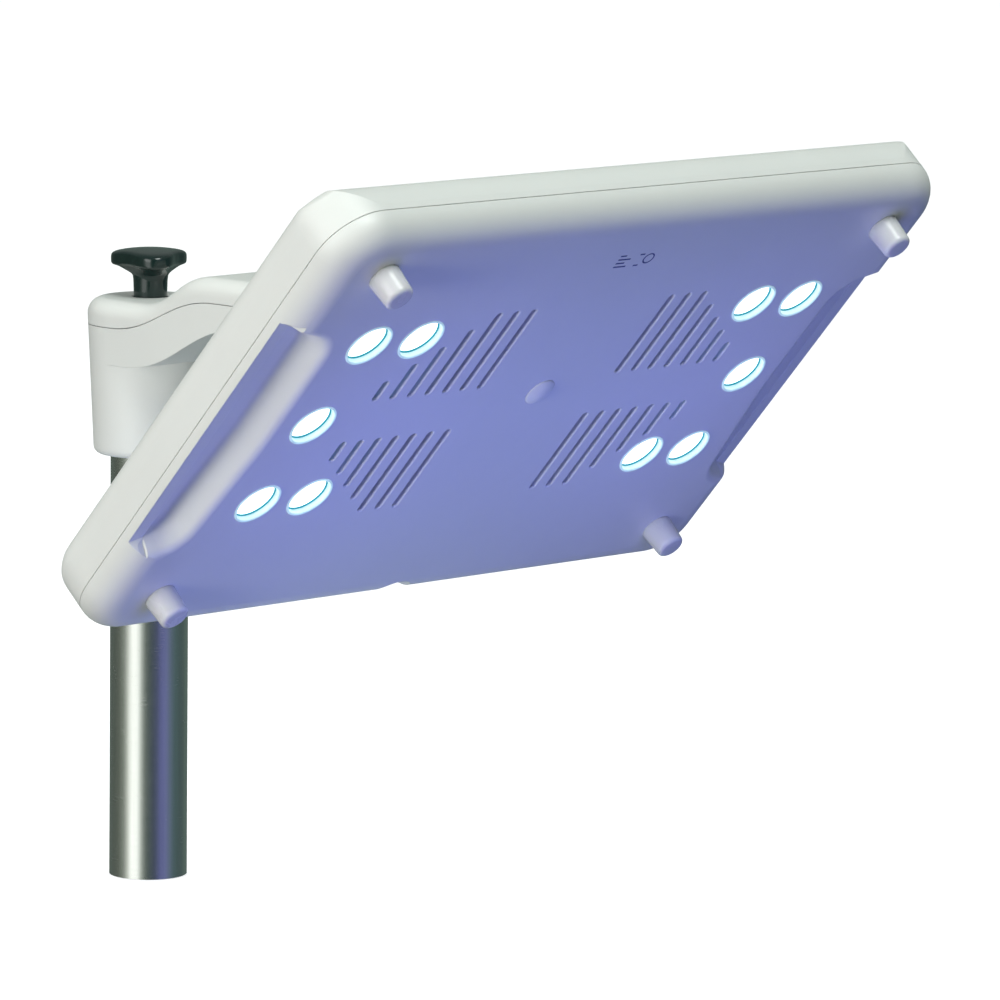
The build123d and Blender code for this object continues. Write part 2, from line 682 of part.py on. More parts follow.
def fan_frame(side):
    """Square frame of a small axial fan with its three-armed motor mount and spindle."""
    place = (side * fan_x, fan_y)
    with BuildPart() as frame:
        with BuildSketch(head.offset(fan_low)):
            with Locations(place):
                RectangleRounded(2 * fan_half, 2 * fan_half, 3)
                Circle(fan_bore, mode=Mode.SUBTRACT)
                with GridLocations(2 * fan_half - 9, 2 * fan_half - 9, 2, 2):
                    Circle(1.8, mode=Mode.SUBTRACT)
        extrude(amount=fan_depth)
        with BuildSketch(head.offset(fan_low + fan_depth - 2)):
            with Locations(place):
                Circle(fan_hub)
                with PolarLocations(fan_bore / 2 + 1, 3, start_angle=30):
                    Rectangle(fan_bore, 3)
        extrude(amount=2)
        with BuildSketch(head.offset(fan_low + 2)):
            with Locations(place):
                Circle(spindle)
        extrude(amount=fan_depth - 3)
        with BuildSketch(head.offset(fan_low + fan_depth)):
            with Locations(place):
                with GridLocations(2 * fan_half - 6, 2 * fan_half - 6, 2, 2):
                    Circle(1.6)
        extrude(amount=2)
    return frame.part


blade_count, blade_pitch = 7, 38.0


def fan_wheel(side):
    """Hub with pitched blades, turning on the frame's spindle."""
    hub_low, hub_height = fan_low + 1, fan_depth - 4
    centre = head.offset(hub_low + hub_height / 2)
    centre.origin = head.from_local_coords((side * fan_x, fan_y, hub_low + hub_height / 2))
    with BuildPart() as wheel:
        with BuildSketch(head.offset(hub_low)):
            with Locations((side * fan_x, fan_y)):
                Circle(fan_hub)
        extrude(amount=hub_height)
        blade_middle = (fan_hub + fan_rotor) / 2
        with Locations(centre):
            with PolarLocations(blade_middle - 0.8, blade_count):
                Box(fan_rotor - fan_hub, 1.2, hub_height - 1, rotation=(blade_pitch, 0, 0))
        with BuildSketch(head.offset(hub_low)):
            with Locations((side * fan_x, fan_y)):
                Circle(spindle + running)
        extrude(amount=hub_height, mode=Mode.SUBTRACT)
        with BuildSketch(head.offset(hub_low - 5)):
            with Locations((side * fan_x, fan_y)):
                Circle(2 * fan_rotor)
                Circle(fan_rotor, mode=Mode.SUBTRACT)
        extrude(amount=hub_height + 10, mode=Mode.SUBTRACT)
    return wheel.part


driver_low, driver_width, driver_length, driver_y = 17.0, 64.0, 88.0, -2.0
with BuildPart() as driver_board:
    with BuildSketch(head.offset(driver_low)):
        with Locations((0, driver_y)):
            RectangleRounded(driver_width, driver_length, 2)
            with GridLocations(driver_width - 8, driver_length - 8, 2, 2):
                Circle(1.6, mode=Mode.SUBTRACT)
    extrude(amount=board_thick)

driver_top = driver_low + board_thick
with BuildPart() as board_spacers:
    with BuildSketch(head.offset(driver_top)):
        with Locations((0, driver_y)):
            with GridLocations(driver_width - 8, driver_length - 8, 2, 2):
                RegularPolygon(3.2, 6)
    extrude(amount=chassis_bottom - driver_top)

capacitors = [(-18.0, -30.0), (-6.0, -30.0), (18.0, 24.0)]
with BuildPart() as driver_capacitors:
    with BuildSketch(head.offset(driver_top)):
        with Locations(*capacitors):
            Circle(5)
    extrude(amount=12)
    fillet(driver_capacitors.edges().group_by(head_axis)[-1], 0.8)

with BuildPart() as driver_coils:
    with BuildSketch(head.offset(driver_top)):
        with Locations((-15, 8), (15, -8)):
            RectangleRounded(15, 15, 3)
    extrude(amount=9)
    with BuildSketch(head.offset(driver_top + 6)):
        with Locations((-15, 8), (15, -8)):
            Circle(3.5)
    extrude(amount=4, mode=Mode.SUBTRACT)


def lead(points, radius):
    """Round insulated lead along a smooth line through places given in the head's own axes."""
    with BuildPart() as wire:
        with BuildLine() as path:
            Spline(*[head.from_local_coords(point) for point in points])
        with BuildSketch(Plane(origin=path.line @ 0, z_dir=path.line % 0)):
            Circle(radius)
        sweep()
    return wire.part


lead_radius, power_radius, lead_gap = 1.4, 2.2, 0.6
lead_height = driver_low - lead_radius - lead_gap
led_leads = Part(children=[lead([(side * 26, 30, lead_height), (side * 60, 26, lead_height - 2),
                                 (side * (board_inner + 6), 12, board_bottom - lead_radius - lead_gap)],
                                lead_radius) for side in (-1, 1)])
inlet_back = inlet_y - inlet_length
inlet_middle = inlet_low + inlet_height / 2
power_lead = lead([(0, inlet_back - lead_gap, inlet_middle), (0, inlet_back - 20, inlet_middle),
                   (0, driver_y + driver_length / 2 - 12, driver_low - power_radius - lead_gap)],
                  power_radius)

with BuildPart() as power_inlet:
    with BuildSketch(inlet_face):
        Rectangle(inlet_width, inlet_height)
    extrude(amount=-inlet_length - wall)
    with BuildSketch(inlet_face):
        Circle(2.8)
    extrude(amount=-10, mode=Mode.SUBTRACT)

# ------------------------------------------------------------------ switch on the back
switch_flange, switch_thick, rocker_gap = 1.8, 1.5, 0.4
rocker_swing, rocker_pin = 8.0, 1.2
rocker_pivot = head.from_local_coords((switch_x, switch_y, head_height - 1.5))
rocker_lean = head.y_dir * cos(radians(rocker_swing)) + head.z_dir * sin(radians(rocker_swing))
rocker_side = Plane(origin=rocker_pivot, x_dir=rocker_lean, z_dir=head.x_dir)
with BuildPart() as switch_frame:
    with BuildSketch(head.offset(head_height)):
        with Locations((switch_x, switch_y)):
            RectangleRounded(switch_width + 2 * switch_flange, switch_length + 2 * switch_flange, 1.5)
    extrude(amount=switch_thick)
    chamfer(switch_frame.edges().group_by(head_axis)[-1], 0.5)
    with BuildSketch(head.offset(head_height)):
        with Locations((switch_x, switch_y)):
            Rectangle(switch_width, switch_length)
    extrude(amount=-15)
    with BuildSketch(head.offset(head_height + switch_thick)):
        with Locations((switch_x, switch_y)):
            Rectangle(switch_width - 2.4, switch_length - 2.4)
    extrude(amount=-9, mode=Mode.SUBTRACT)
    with BuildSketch(rocker_side):
        Circle(rocker_pin + running)
    extrude(amount=switch_width / 2, both=True, mode=Mode.SUBTRACT)

rocker_half, rocker_width = switch_length / 2 - 2.2, switch_width - 2.4 - 2 * rocker_gap
with BuildPart() as power_rocker:
    with BuildSketch(rocker_side):
        with BuildLine():
            Polyline((-rocker_half, -1), (-rocker_half, 3.6), (0, 2.6), (rocker_half, 3.6),
                     (rocker_half, -1), (3, -5), (-3, -5), (-rocker_half, -1))
        make_face()
    extrude(amount=rocker_width / 2, both=True)
    with BuildSketch(rocker_side):
        Circle(rocker_pin)
    extrude(amount=switch_width / 2 - 0.1, both=True)

# ------------------------------------------------------------------ tilt hinge on the head's back
ear_inner = barrel_half + washer_thick
ear_radius = 13.0
base_front, base_rear = -24.0, 16.0
with BuildPart() as hinge_bracket:
    with BuildSketch(head.offset(head_height)):
        with Locations((0, (base_front + base_rear) / 2)):
            RectangleRounded(84, base_rear - base_front, 5)
    extrude(amount=bracket_thick)
    for side in (-1, 1):
        with BuildSketch(head_side.offset(side * ear_inner)):
            with Locations((0, hinge_height)):
                Circle(ear_radius)
            with BuildLine():
                Polyline((base_front + 4, head_height), (-ear_radius + 0.5, hinge_height),
                         (ear_radius - 0.5, hinge_height), (base_rear - 1, head_height),
                         (base_front + 4, head_height))
            make_face()
        extrude(amount=side * ear_thick)
    with BuildSketch(head_side.offset(-60)):
        with Locations((0, hinge_height)):
            Circle(pin_radius)
    extrude(amount=120, mode=Mode.SUBTRACT)
    with BuildSketch(head.offset(head_height)):
        with Locations(*bracket_bolts):
            Circle(2.8)
    extrude(amount=bracket_thick, mode=Mode.SUBTRACT)

pin_reach = ear_inner + ear_thick
nut_thick, nut_radius = 6.0, 10.0
hinge_line = Plane(origin=hinge_centre, x_dir=head.y_dir, z_dir=head.x_dir)
with BuildPart() as hinge_pin:
    with BuildSketch(hinge_line.offset(-pin_reach)):
        Circle(pin_radius)
    extrude(amount=2 * pin_reach + nut_thick + 1.5)
    chamfer(hinge_pin.edges().sort_by(Axis.X)[-1], 0.8)
    with BuildSketch(hinge_line.offset(-pin_reach)):
        Circle(9)
    extrude(amount=-4)
    fillet(hinge_pin.edges().sort_by(Axis.X)[0], 1.2)
    with BuildSketch(hinge_line.offset(-pin_reach - 4)):
        RegularPolygon(4, 6)
    extrude(amount=2.5, mode=Mode.SUBTRACT)

with BuildPart() as hinge_lock_nut:
    with BuildSketch(hinge_line.offset(pin_reach)):
        RegularPolygon(nut_radius, 6)
        Circle(pin_radius, mode=Mode.SUBTRACT)
    extrude(amount=nut_thick)

# ------------------------------------------------------------------ write every piece
pieces = {
    "pole_tube": pole_tube.part,
    "pole_plug": pole_plug.part,
    "thrust_washer": thrust_washer.part,
    "arm_core": arm_core.part,
    "lower_swivel_bush": swivel_bush(collar_bottom + 6),
    "upper_swivel_bush": swivel_bush(web_bottom - bush_length - 6),
    "tilt_bushes": tilt_bushes.part,
    "tilt_washers": tilt_washers.part,
    "arm_lower_cover": arm_lower_cover.part,
    "arm_top_cover": arm_top_cover.part,
    "arm_cover_screws": arm_cover_screws.part,
    "clamp_knob": clamp_knob.part,
    "knob_stud": knob_stud.part,
    "knob_washer": knob_washer.part,
    "front_shell": front_shell.part,
    "back_shell": back_shell.part,
    "stand_off_feet": stand_off_feet.part,
    "foot_screws": headed_screws(feet, -7.5, wall, screw_radius, 4.0, 2.4),
    "centre_cap": centre_cap.part,
    "window_lenses": window_lenses.part,
    "reflectors": reflectors.part,
    "led_emitters": led_emitters.part,
    "led_board_left": led_board(-1),
    "led_board_right": led_board(1),
    "heat_sink_left": heat_sink(-1),
    "heat_sink_right": heat_sink(1),
    "chassis_plate": chassis_plate.part,
    "fan_frame_left": fan_frame(-1),
    "fan_frame_right": fan_frame(1),
    "fan_wheel_left": fan_wheel(-1),
    "fan_wheel_right": fan_wheel(1),
    "driver_board": driver_board.part,
    "board_spacers": board_spacers.part,
    "driver_capacitors": driver_capacitors.part,
    "driver_coils": driver_coils.part,
    "led_leads": led_leads,
    "power_lead": power_lead,
    "power_inlet": power_inlet.part,
    "switch_frame": switch_frame.part,
    "power_rocker": power_rocker.part,
    "shell_screws": headed_screws(shell_bolts, wall + 5, shell_seat, screw_radius, 3.8, 2.6),
    "hinge_bracket": hinge_bracket.part,
    "hinge_pin": hinge_pin.part,
    "hinge_lock_nut": hinge_lock_nut.part,
    "bracket_screws": headed_screws(bracket_bolts, chassis_bottom, head_height + bracket_thick, 2.5, 4.4,
                                    3.0),
}
for label, piece in pieces.items():
    save(piece, label)
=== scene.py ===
import json
from math import cos, pi, radians, sin

import bpy
from mathutils import Matrix, Vector


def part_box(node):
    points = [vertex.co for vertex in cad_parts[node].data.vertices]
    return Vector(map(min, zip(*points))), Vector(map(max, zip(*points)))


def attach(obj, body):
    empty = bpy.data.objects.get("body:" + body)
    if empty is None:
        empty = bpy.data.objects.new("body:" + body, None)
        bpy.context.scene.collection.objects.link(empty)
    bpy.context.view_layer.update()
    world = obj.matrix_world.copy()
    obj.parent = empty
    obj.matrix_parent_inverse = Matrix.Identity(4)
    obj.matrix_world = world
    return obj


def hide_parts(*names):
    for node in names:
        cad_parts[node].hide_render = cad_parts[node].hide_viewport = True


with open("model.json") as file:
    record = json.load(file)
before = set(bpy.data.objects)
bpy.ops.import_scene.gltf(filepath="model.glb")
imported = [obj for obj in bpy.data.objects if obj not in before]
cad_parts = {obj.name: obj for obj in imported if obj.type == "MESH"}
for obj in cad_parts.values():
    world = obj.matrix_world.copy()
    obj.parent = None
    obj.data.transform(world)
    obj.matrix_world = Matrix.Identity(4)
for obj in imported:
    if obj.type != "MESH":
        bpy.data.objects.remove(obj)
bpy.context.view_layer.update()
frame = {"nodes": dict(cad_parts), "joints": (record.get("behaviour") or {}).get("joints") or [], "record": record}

# Pole-mounted operating light: materials, small surface detail, studio light and camera
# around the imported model. Metres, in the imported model's own frame.

MM = 0.001

# ------------------------------------------------------------------ the head's own axes
joints = {joint["name"]: joint for joint in frame["joints"]}
head_out = Vector(joints["fan_left_spin"]["axis"])            # out of the back cover
head_across = Vector((1, 0, 0))
head_rear = head_out.cross(head_across)
hinge_height = 58 * MM
hinge_place = Vector(joints["head_tilt"]["pos_m"])
head_origin = hinge_place - head_out * hinge_height           # middle of the flat underside
head_axes = Matrix((head_across, head_rear, head_out)).transposed().to_4x4()
HEAD = Matrix.Translation(head_origin) @ head_axes


def in_head(x, y, z):
    """A place given in millimetres on the head: across, towards the rear, up from the underside."""
    return HEAD @ Vector((x * MM, y * MM, z * MM))


# ------------------------------------------------------------------ material helpers
class Finish:
    """A node material under construction: one Principled shader fed by procedural patterns."""

    def __init__(self, name, colour, roughness, metallic=0.0):
        self.material = bpy.data.materials.new(name)
        self.material.use_nodes = True
        self.tree = self.material.node_tree
        self.shader = self.tree.nodes["Principled BSDF"]
        self.shader.inputs["Metallic"].default_value = metallic
        self.colour = self.rgb(colour)
        self.roughness = self.value(roughness)
        self.normal = None
        self.place = self.add("ShaderNodeTexCoord").outputs["Object"]

    def add(self, kind, **settings):
        node = self.tree.nodes.new(kind)
        for key, value in settings.items():
            setattr(node, key, value)
        return node

    def link(self, source, target):
        self.tree.links.new(source, target)

    def rgb(self, colour):
        node = self.add("ShaderNodeRGB")
        node.outputs[0].default_value = (*colour, 1)
        return node.outputs[0]

    def value(self, number):
        node = self.add("ShaderNodeValue")
        node.outputs[0].default_value = number
        return node.outputs[0]

    def math(self, operation, first, second):
        node = self.add("ShaderNodeMath", operation=operation)
        for socket, source in zip(node.inputs, (first, second)):
            if isinstance(source, (int, float)):
                socket.default_value = source
            else:
                self.link(source, socket)
        return node.outputs[0]

    def stretched(self, scale):
        """Object coordinates in which a pattern is drawn finer along the larger scales."""
        node = self.add("ShaderNodeMapping")
        node.inputs["Scale"].default_value = scale
        self.link(self.place, node.inputs["Vector"])
        return node.outputs[0]

    def noise(self, size, detail=3.0, place=None, distortion=0.0):
        """Noise whose features are about `size` metres across."""
        node = self.add("ShaderNodeTexNoise")
        node.inputs["Scale"].default_value = 1 / size
        node.inputs["Detail"].default_value = detail
        node.inputs["Distortion"].default_value = distortion
        self.link(place or self.place, node.inputs["Vector"])
        return node.outputs["Fac"]

    def ranged(self, source, low, high, new_low, new_high):
        node = self.add("ShaderNodeMapRange")
        limits = {"From Min": low, "From Max": high, "To Min": new_low, "To Max": new_high}
        for key, number in limits.items():
            node.inputs[key].default_value = number
        self.link(source, node.inputs["Value"])
        return node.outputs["Result"]

    def tint(self, mask, colour):
        """Mix another colour in where the mask is high."""
        node = self.add("ShaderNodeMix", data_type="RGBA")
        self.link(mask, node.inputs["Factor"])
        self.link(self.colour, node.inputs[6])
        node.inputs[7].default_value = (*colour, 1)
        self.colour = node.outputs[2]

    def roughen(self, mask, amount):
        self.roughness = self.math("ADD", self.roughness, self.math("MULTIPLY", mask, amount))

    def bump(self, height, depth, strength=1.0):
        node = self.add("ShaderNodeBump")
        node.inputs["Distance"].default_value = depth
        node.inputs["Strength"].default_value = strength
        self.link(height, node.inputs["Height"])
        if self.normal:
            self.link(self.normal, node.inputs["Normal"])
        self.normal = node.outputs["Normal"]

    def soft_edges(self, radius):
        """Round the look of hard edges and return a mask that is high along them."""
        bevel = self.add("ShaderNodeBevel", samples=6)
        bevel.inputs["Radius"].default_value = radius
        flat = self.add("ShaderNodeNewGeometry")
        dot = self.add("ShaderNodeVectorMath", operation="DOT_PRODUCT")
        self.link(bevel.outputs[0], dot.inputs[0])
        self.link(flat.outputs["Normal"], dot.inputs[1])
        self.normal = bevel.outputs[0]
        return self.ranged(dot.outputs["Value"], 1.0, 0.75, 0.0, 1.0)

    def done(self, **inputs):
        self.link(self.colour, self.shader.inputs["Base Color"])
        self.link(self.roughness, self.shader.inputs["Roughness"])
        if self.normal:
            self.link(self.normal, self.shader.inputs["Normal"])
        for key, value in inputs.items():
            self.shader.inputs[key.replace("_", " ")].default_value = value
        return self.material


# ------------------------------------------------------------------ materials
LENS_GLOW = 2.2                     # light given off by a lit lens
RIM_GLOW = 0.58                     # wash of light on the lining of its opening


def moulded(name, colour, roughness, worn, grain=0.45 * MM, depth=0.012 * MM):
    """Injection-moulded plastic: spark-eroded grain, faint mottling, rubbed edges."""
    finish = Finish(name, colour, roughness)
    edge = finish.soft_edges(0.7 * MM)
    mottle = finish.ranged(finish.noise(45 * MM, 4), 0.35, 0.65, 0.0, 1.0)
    smudge = finish.ranged(finish.noise(14 * MM, 6, distortion=0.6), 0.52, 0.72, 0.0, 1.0)
    finish.tint(finish.math("MULTIPLY", mottle, 0.25), [channel * 0.93 for channel in colour])
    finish.tint(finish.math("MULTIPLY", edge, 0.35), worn)
    finish.roughen(smudge, 0.10)
    finish.roughen(edge, -0.08)
    finish.bump(finish.noise(grain, 2), depth, 0.5)
    return finish.done(IOR=1.46)


def white_plastic():
    """Warm white of the covers."""
    material = moulded("white_plastic", (0.79, 0.80, 0.76), 0.40, (0.86, 0.87, 0.85))
    shader = material.node_tree.nodes["Principled BSDF"]
    shader.inputs["Subsurface Weight"].default_value = 0.08
    shader.inputs["Subsurface Radius"].default_value = (1.2 * MM, 1.0 * MM, 0.9 * MM)
    return material


def foot_plastic():
    """Slightly translucent, glossy white of the feet, so light soaks round into their tips."""
    material = moulded("foot_plastic", (0.70, 0.70, 0.70), 0.22, (0.76, 0.76, 0.76))
    shader = material.node_tree.nodes["Principled BSDF"]
    shader.inputs["Subsurface Weight"].default_value = 0.5
    shader.inputs["Subsurface Scale"].default_value = 1.0
    shader.inputs["Subsurface Radius"].default_value = (7 * MM, 6 * MM, 7 * MM)
    return material


def black_plastic():
    """Glossy black of the hand knob, with a breath of green."""
    material = moulded("black_plastic", (0.004, 0.016, 0.014), 0.15, (0.02, 0.04, 0.04),
                       0.8 * MM, 0.003 * MM)
    material.node_tree.nodes["Principled BSDF"].inputs["Coat Weight"].default_value = 0.3
    return material


def brushed_pole():
    """Stainless tube ground round its girth, with long polish streaks and a few handling marks."""
    finish = Finish("brushed_pole", (0.60, 0.61, 0.585), 0.24, 1.0)
    rings = finish.noise(1.0, 4, finish.stretched((40, 40, 9000)))
    streaks = finish.noise(1.0, 3, finish.stretched((420, 420, 14)))
    marks = finish.ranged(finish.noise(22 * MM, 5, distortion=1.2), 0.60, 0.74, 0.0, 1.0)
    streaky = finish.math("MULTIPLY", finish.ranged(streaks, 0.4, 0.7, 0.0, 1.0), 0.35)
    finish.tint(streaky, (0.47, 0.48, 0.45))
    finish.roughen(finish.ranged(rings, 0.35, 0.65, -1.0, 1.0), 0.03)
    finish.roughen(marks, 0.025)
    finish.bump(rings, 0.003 * MM, 0.5)
    return finish.done(Anisotropic=0.5)


def cast_aluminium():
    """Bead-blasted casting with slightly polished edges."""
    finish = Finish("cast_aluminium", (0.62, 0.63, 0.64), 0.46, 1.0)
    edge = finish.soft_edges(0.6 * MM)
    finish.tint(finish.math("MULTIPLY", finish.noise(8 * MM, 5), 0.3), (0.48, 0.49, 0.50))
    finish.tint(finish.math("MULTIPLY", edge, 0.6), (0.82, 0.83, 0.84))
    finish.roughen(edge, -0.16)
    finish.bump(finish.noise(0.35 * MM, 3), 0.03 * MM, 0.6)
    return finish.done()


def zinc_steel():
    """Bright zinc plate with a faint blue and straw cast and turned or rolled lines."""
    finish = Finish("zinc_steel", (0.66, 0.67, 0.68), 0.26, 1.0)
    edge = finish.soft_edges(0.35 * MM)
    cast = finish.ranged(finish.noise(11 * MM, 3), 0.4, 0.6, 0.0, 1.0)
    finish.tint(finish.math("MULTIPLY", cast, 0.45), (0.62, 0.66, 0.74))
    finish.tint(finish.math("MULTIPLY", finish.noise(3 * MM, 6), 0.25), (0.66, 0.61, 0.50))
    finish.roughen(finish.noise(1.0, 3, finish.stretched((9000, 300, 300))), 0.16)
    finish.roughen(edge, -0.1)
    finish.bump(finish.noise(0.5 * MM, 4), 0.008 * MM, 0.5)
    return finish.done()


def turned_nylon():
    """Ivory bush material with fine turning lines."""
    finish = Finish("nylon", (0.74, 0.71, 0.62), 0.45)
    finish.soft_edges(0.4 * MM)
    finish.tint(finish.math("MULTIPLY", finish.noise(9 * MM, 4), 0.3), (0.66, 0.61, 0.50))
    finish.bump(finish.noise(1.0, 2, finish.stretched((200, 200, 4000))), 0.01 * MM, 0.6)
    return finish.done(Subsurface_Weight=0.1)


def bearing_bronze():
    """Sintered bronze, brighter along its edges."""
    finish = Finish("bearing_bronze", (0.62, 0.43, 0.20), 0.32, 1.0)
    edge = finish.soft_edges(0.3 * MM)
    finish.tint(finish.math("MULTIPLY", finish.noise(6 * MM, 5), 0.5), (0.42, 0.28, 0.14))
    finish.tint(finish.math("MULTIPLY", edge, 0.5), (0.82, 0.64, 0.36))
    finish.bump(finish.noise(1.0, 2, finish.stretched((300, 300, 5000))), 0.01 * MM, 0.6)
    return finish.done()


def clear_lens():
    """Window lens flooded by the source behind it: burnt-out middle, cooler towards the rim."""
    finish = Finish("clear_glass", (0.93, 0.98, 1.0), 0.08)
    ripple = finish.ranged(finish.noise(1.6 * MM, 2), 0.3, 0.7, 0.9, 1.1)
    finish.bump(finish.noise(2.5 * MM, 2), 0.02 * MM, 0.4)
    finish.link(finish.math("MULTIPLY", ripple, LENS_GLOW), finish.shader.inputs["Emission Strength"])
    return finish.done(Emission_Color=(0.93, 0.98, 1.0, 1))


def lit_rim():
    """Wall of a window opening, washed with pale cyan light."""
    finish = Finish("window_rim", (0.38, 0.48, 0.50), 0.30)
    finish.bump(finish.noise(0.6 * MM, 2), 0.01 * MM, 0.5)
    wash = finish.ranged(finish.noise(5 * MM, 3), 0.35, 0.65, 0.72, 1.0)
    finish.link(finish.math("MULTIPLY", wash, RIM_GLOW), finish.shader.inputs["Emission Strength"])
    return finish.done(Emission_Color=(0.62, 0.93, 1.0, 1))


def rim_gasket_with_painted_glow():
    """Thin teal sealing lip between the lens and its opening, with a painted teal glow of the lens light on it."""
    finish = Finish("window_gasket_painted_glow", (0.0, 0.10, 0.13), 0.45)
    finish.tint(finish.math("MULTIPLY", finish.noise(2 * MM, 3), 0.4), (0.0, 0.06, 0.09))
    finish.bump(finish.noise(0.5 * MM, 2), 0.01 * MM, 0.5)
    # The emission here is painted light: the teal glow of the lit lens on the lip.
    return finish.done(Emission_Color=(0.0, 0.28, 0.34, 1), Emission_Strength=0.9)


def reflector_metal():
    """Bright metallised cup with a faint ripple."""
    finish = Finish("reflector_metal", (0.88, 0.90, 0.92), 0.10, 1.0)
    finish.tint(finish.math("MULTIPLY", finish.noise(4 * MM, 4), 0.2), (0.70, 0.74, 0.78))
    finish.bump(finish.noise(1.8 * MM, 2), 0.05 * MM, 0.5)
    return finish.done()


def emitter_face():
    """Yellow phosphor of a light source, switched on."""
    finish = Finish("emitter", (0.95, 0.93, 0.70), 0.25)
    finish.bump(finish.noise(0.4 * MM, 2), 0.01 * MM, 0.5)
    finish.tint(finish.math("MULTIPLY", finish.noise(1 * MM, 2), 0.3), (0.9, 0.8, 0.4))
    return finish.done(Emission_Color=(0.75, 0.88, 1.0, 1), Emission_Strength=6.0)


def circuit_board():
    """Solder mask over faint copper tracks."""
    finish = Finish("circuit_board", (0.05, 0.16, 0.08), 0.30)
    tracks = finish.add("ShaderNodeTexBrick")
    tracks.inputs["Scale"].default_value = 260
    tracks.inputs["Mortar Size"].default_value = 0.03
    finish.link(finish.place, tracks.inputs["Vector"])
    copper = finish.math("MULTIPLY", tracks.outputs["Fac"], finish.noise(9 * MM, 2))
    finish.tint(copper, (0.12, 0.30, 0.14))
    finish.bump(copper, 0.03 * MM, 0.6)
    finish.roughen(finish.noise(2 * MM, 3), 0.12)
    return finish.done(Coat_Weight=0.3)


def capacitor_sleeve():
    """Dark shrink sleeve with bare metal showing at its edges."""
    finish = Finish("capacitor_sleeve", (0.03, 0.04, 0.07), 0.28)
    edge = finish.soft_edges(0.4 * MM)
    finish.tint(edge, (0.45, 0.46, 0.48))
    finish.bump(finish.noise(1.4 * MM, 3), 0.02 * MM, 0.6)
    return finish.done(Coat_Weight=0.3)


def cable_jacket():
    """Matt black rubber."""
    finish = Finish("cable_jacket", (0.03, 0.03, 0.033), 0.5)
    finish.tint(finish.math("MULTIPLY", finish.noise(5 * MM, 4), 0.5), (0.06, 0.06, 0.065))
    finish.bump(finish.noise(0.5 * MM, 3), 0.03 * MM, 0.6)
    return finish.done()


def printed_ink():
    """Slightly worn dark blue print."""
    finish = Finish("printed_ink", (0.07, 0.08, 0.17), 0.55)
    finish.tint(finish.math("MULTIPLY", finish.noise(0.8 * MM, 3), 0.4), (0.13, 0.14, 0.26))
    finish.bump(finish.noise(0.4 * MM, 2), 0.005 * MM, 0.4)
    return finish.done()


FINISHES = {
    "white_plastic": white_plastic(), "black_plastic": black_plastic(), "brushed_pole": brushed_pole(),
    "cast_aluminium": cast_aluminium(), "zinc_steel": zinc_steel(), "nylon": turned_nylon(),
    "bearing_bronze": bearing_bronze(), "clear_glass": clear_lens(), "reflector_metal": reflector_metal(),
    "emitter": emitter_face(), "circuit_board": circuit_board(), "capacitor_sleeve": capacitor_sleeve(),
    "cable_jacket": cable_jacket(),
}
for entry in frame["record"]["subparts"]:
    slots = frame["nodes"][entry["node"]].material_slots
    for slot in slots:
        slot.material = FINISHES[entry["material_slot"]]
for slot in frame["nodes"]["stand_off_feet"].material_slots:
    slot.material = foot_plastic()


# ------------------------------------------------------------------ mesh helpers
def mesh_piece(name, vertices, faces, materials, body, face_material=None, smooth=True):
    """A new object from points in the row frame, riding on a body."""
    mesh = bpy.data.meshes.new(name)
    mesh.from_pydata([tuple(v) for v in vertices], [], faces)
    for material in materials:
        mesh.materials.append(material)
    for index, polygon in enumerate(mesh.polygons):
        polygon.use_smooth = smooth
        polygon.material_index = face_material[index] if face_material else 0
    mesh.update()
    piece = bpy.data.objects.new(name, mesh)
    bpy.context.scene.collection.objects.link(piece)
    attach(piece, body)
    return piece


def rings_of(profile, centre, first, second, normal, steps):
    """Points and faces of a closed profile, (radius, height) pairs, turned about a centre."""
    points = []
    for step in range(steps):
        angle = 2 * pi * step / steps
        outward = first * cos(angle) + second * sin(angle)
        points += [centre + outward * radius + normal * height for radius, height in profile]
    count = len(profile)
    faces = []
    for step in range(steps):
        for index in range(count):
            after = (index + 1) % count
            a, b = step * count, (step + 1) % steps * count
            faces.append((a + index, b + index, b + after, a + after))
    return points, faces


# ------------------------------------------------------------------ clamp knob
def smooth_knob():
    """Moulded form of the hand knob: lobes under one low dome, rounded rims and a plain stem."""
    low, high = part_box("clamp_knob")
    reach, stem, valley, dome = 20.2, 8.25, 14.0, 2.2     # radii, then the fall of the dome
    lobes, first_lobe, lobe_sharpness, steps = 3, radians(235), 1.2, 144
    neck = 12.7                                           # depth of the top of the stem below the crown
    bottom, top = low[2] / MM, high[2] / MM
    rim_round = [(0.25, 0.0), (0.50, 0.0), (0.74, 0.05), (0.87, 0.25), (0.94, 0.6), (0.985, 1.2), (1.0, 2.1),
                 (1.0, 5.0), (0.985, 6.1), (0.93, 7.0), (0.82, 7.7)]
    points, faces = [Vector((0, 0, top)) * MM, Vector((0, 0, bottom)) * MM], []
    for step in range(steps):
        angle = 2 * pi * step / steps
        lobe = ((1 + cos(lobes * (angle - first_lobe))) / 2) ** lobe_sharpness
        rim = valley + (reach - valley) * lobe
        section = [(rim * part, top - drop - dome * (rim * part / reach) ** 2)
                   for part, drop in rim_round]
        under = section[-1][1]
        section += [((rim * 0.86 + stem) / 2, (under + top - neck) / 2 - 0.2), (stem + 0.7, top - neck),
                    (stem, top - neck - 0.9), (stem - 0.1, bottom + 0.5), (stem - 0.6, bottom)]
        outward = Vector((cos(angle), sin(angle), 0))
        points += [(outward * radius + Vector((0, 0, height))) * MM for radius, height in section]
        count = len(section)
        here, ahead = 2 + step * count, 2 + (step + 1) % steps * count
        faces += [(0, here, ahead), (1, ahead + count - 1, here + count - 1)]
        for index in range(count - 1):
            faces.append((here + index, here + index + 1, ahead + index + 1, ahead + index))
    piece = mesh_piece("clamp_knob_moulded", points, faces, (FINISHES["black_plastic"],), "knob")
    piece.modifiers.new("smooth", "SUBSURF").render_levels = 1
    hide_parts("clamp_knob")


smooth_knob()


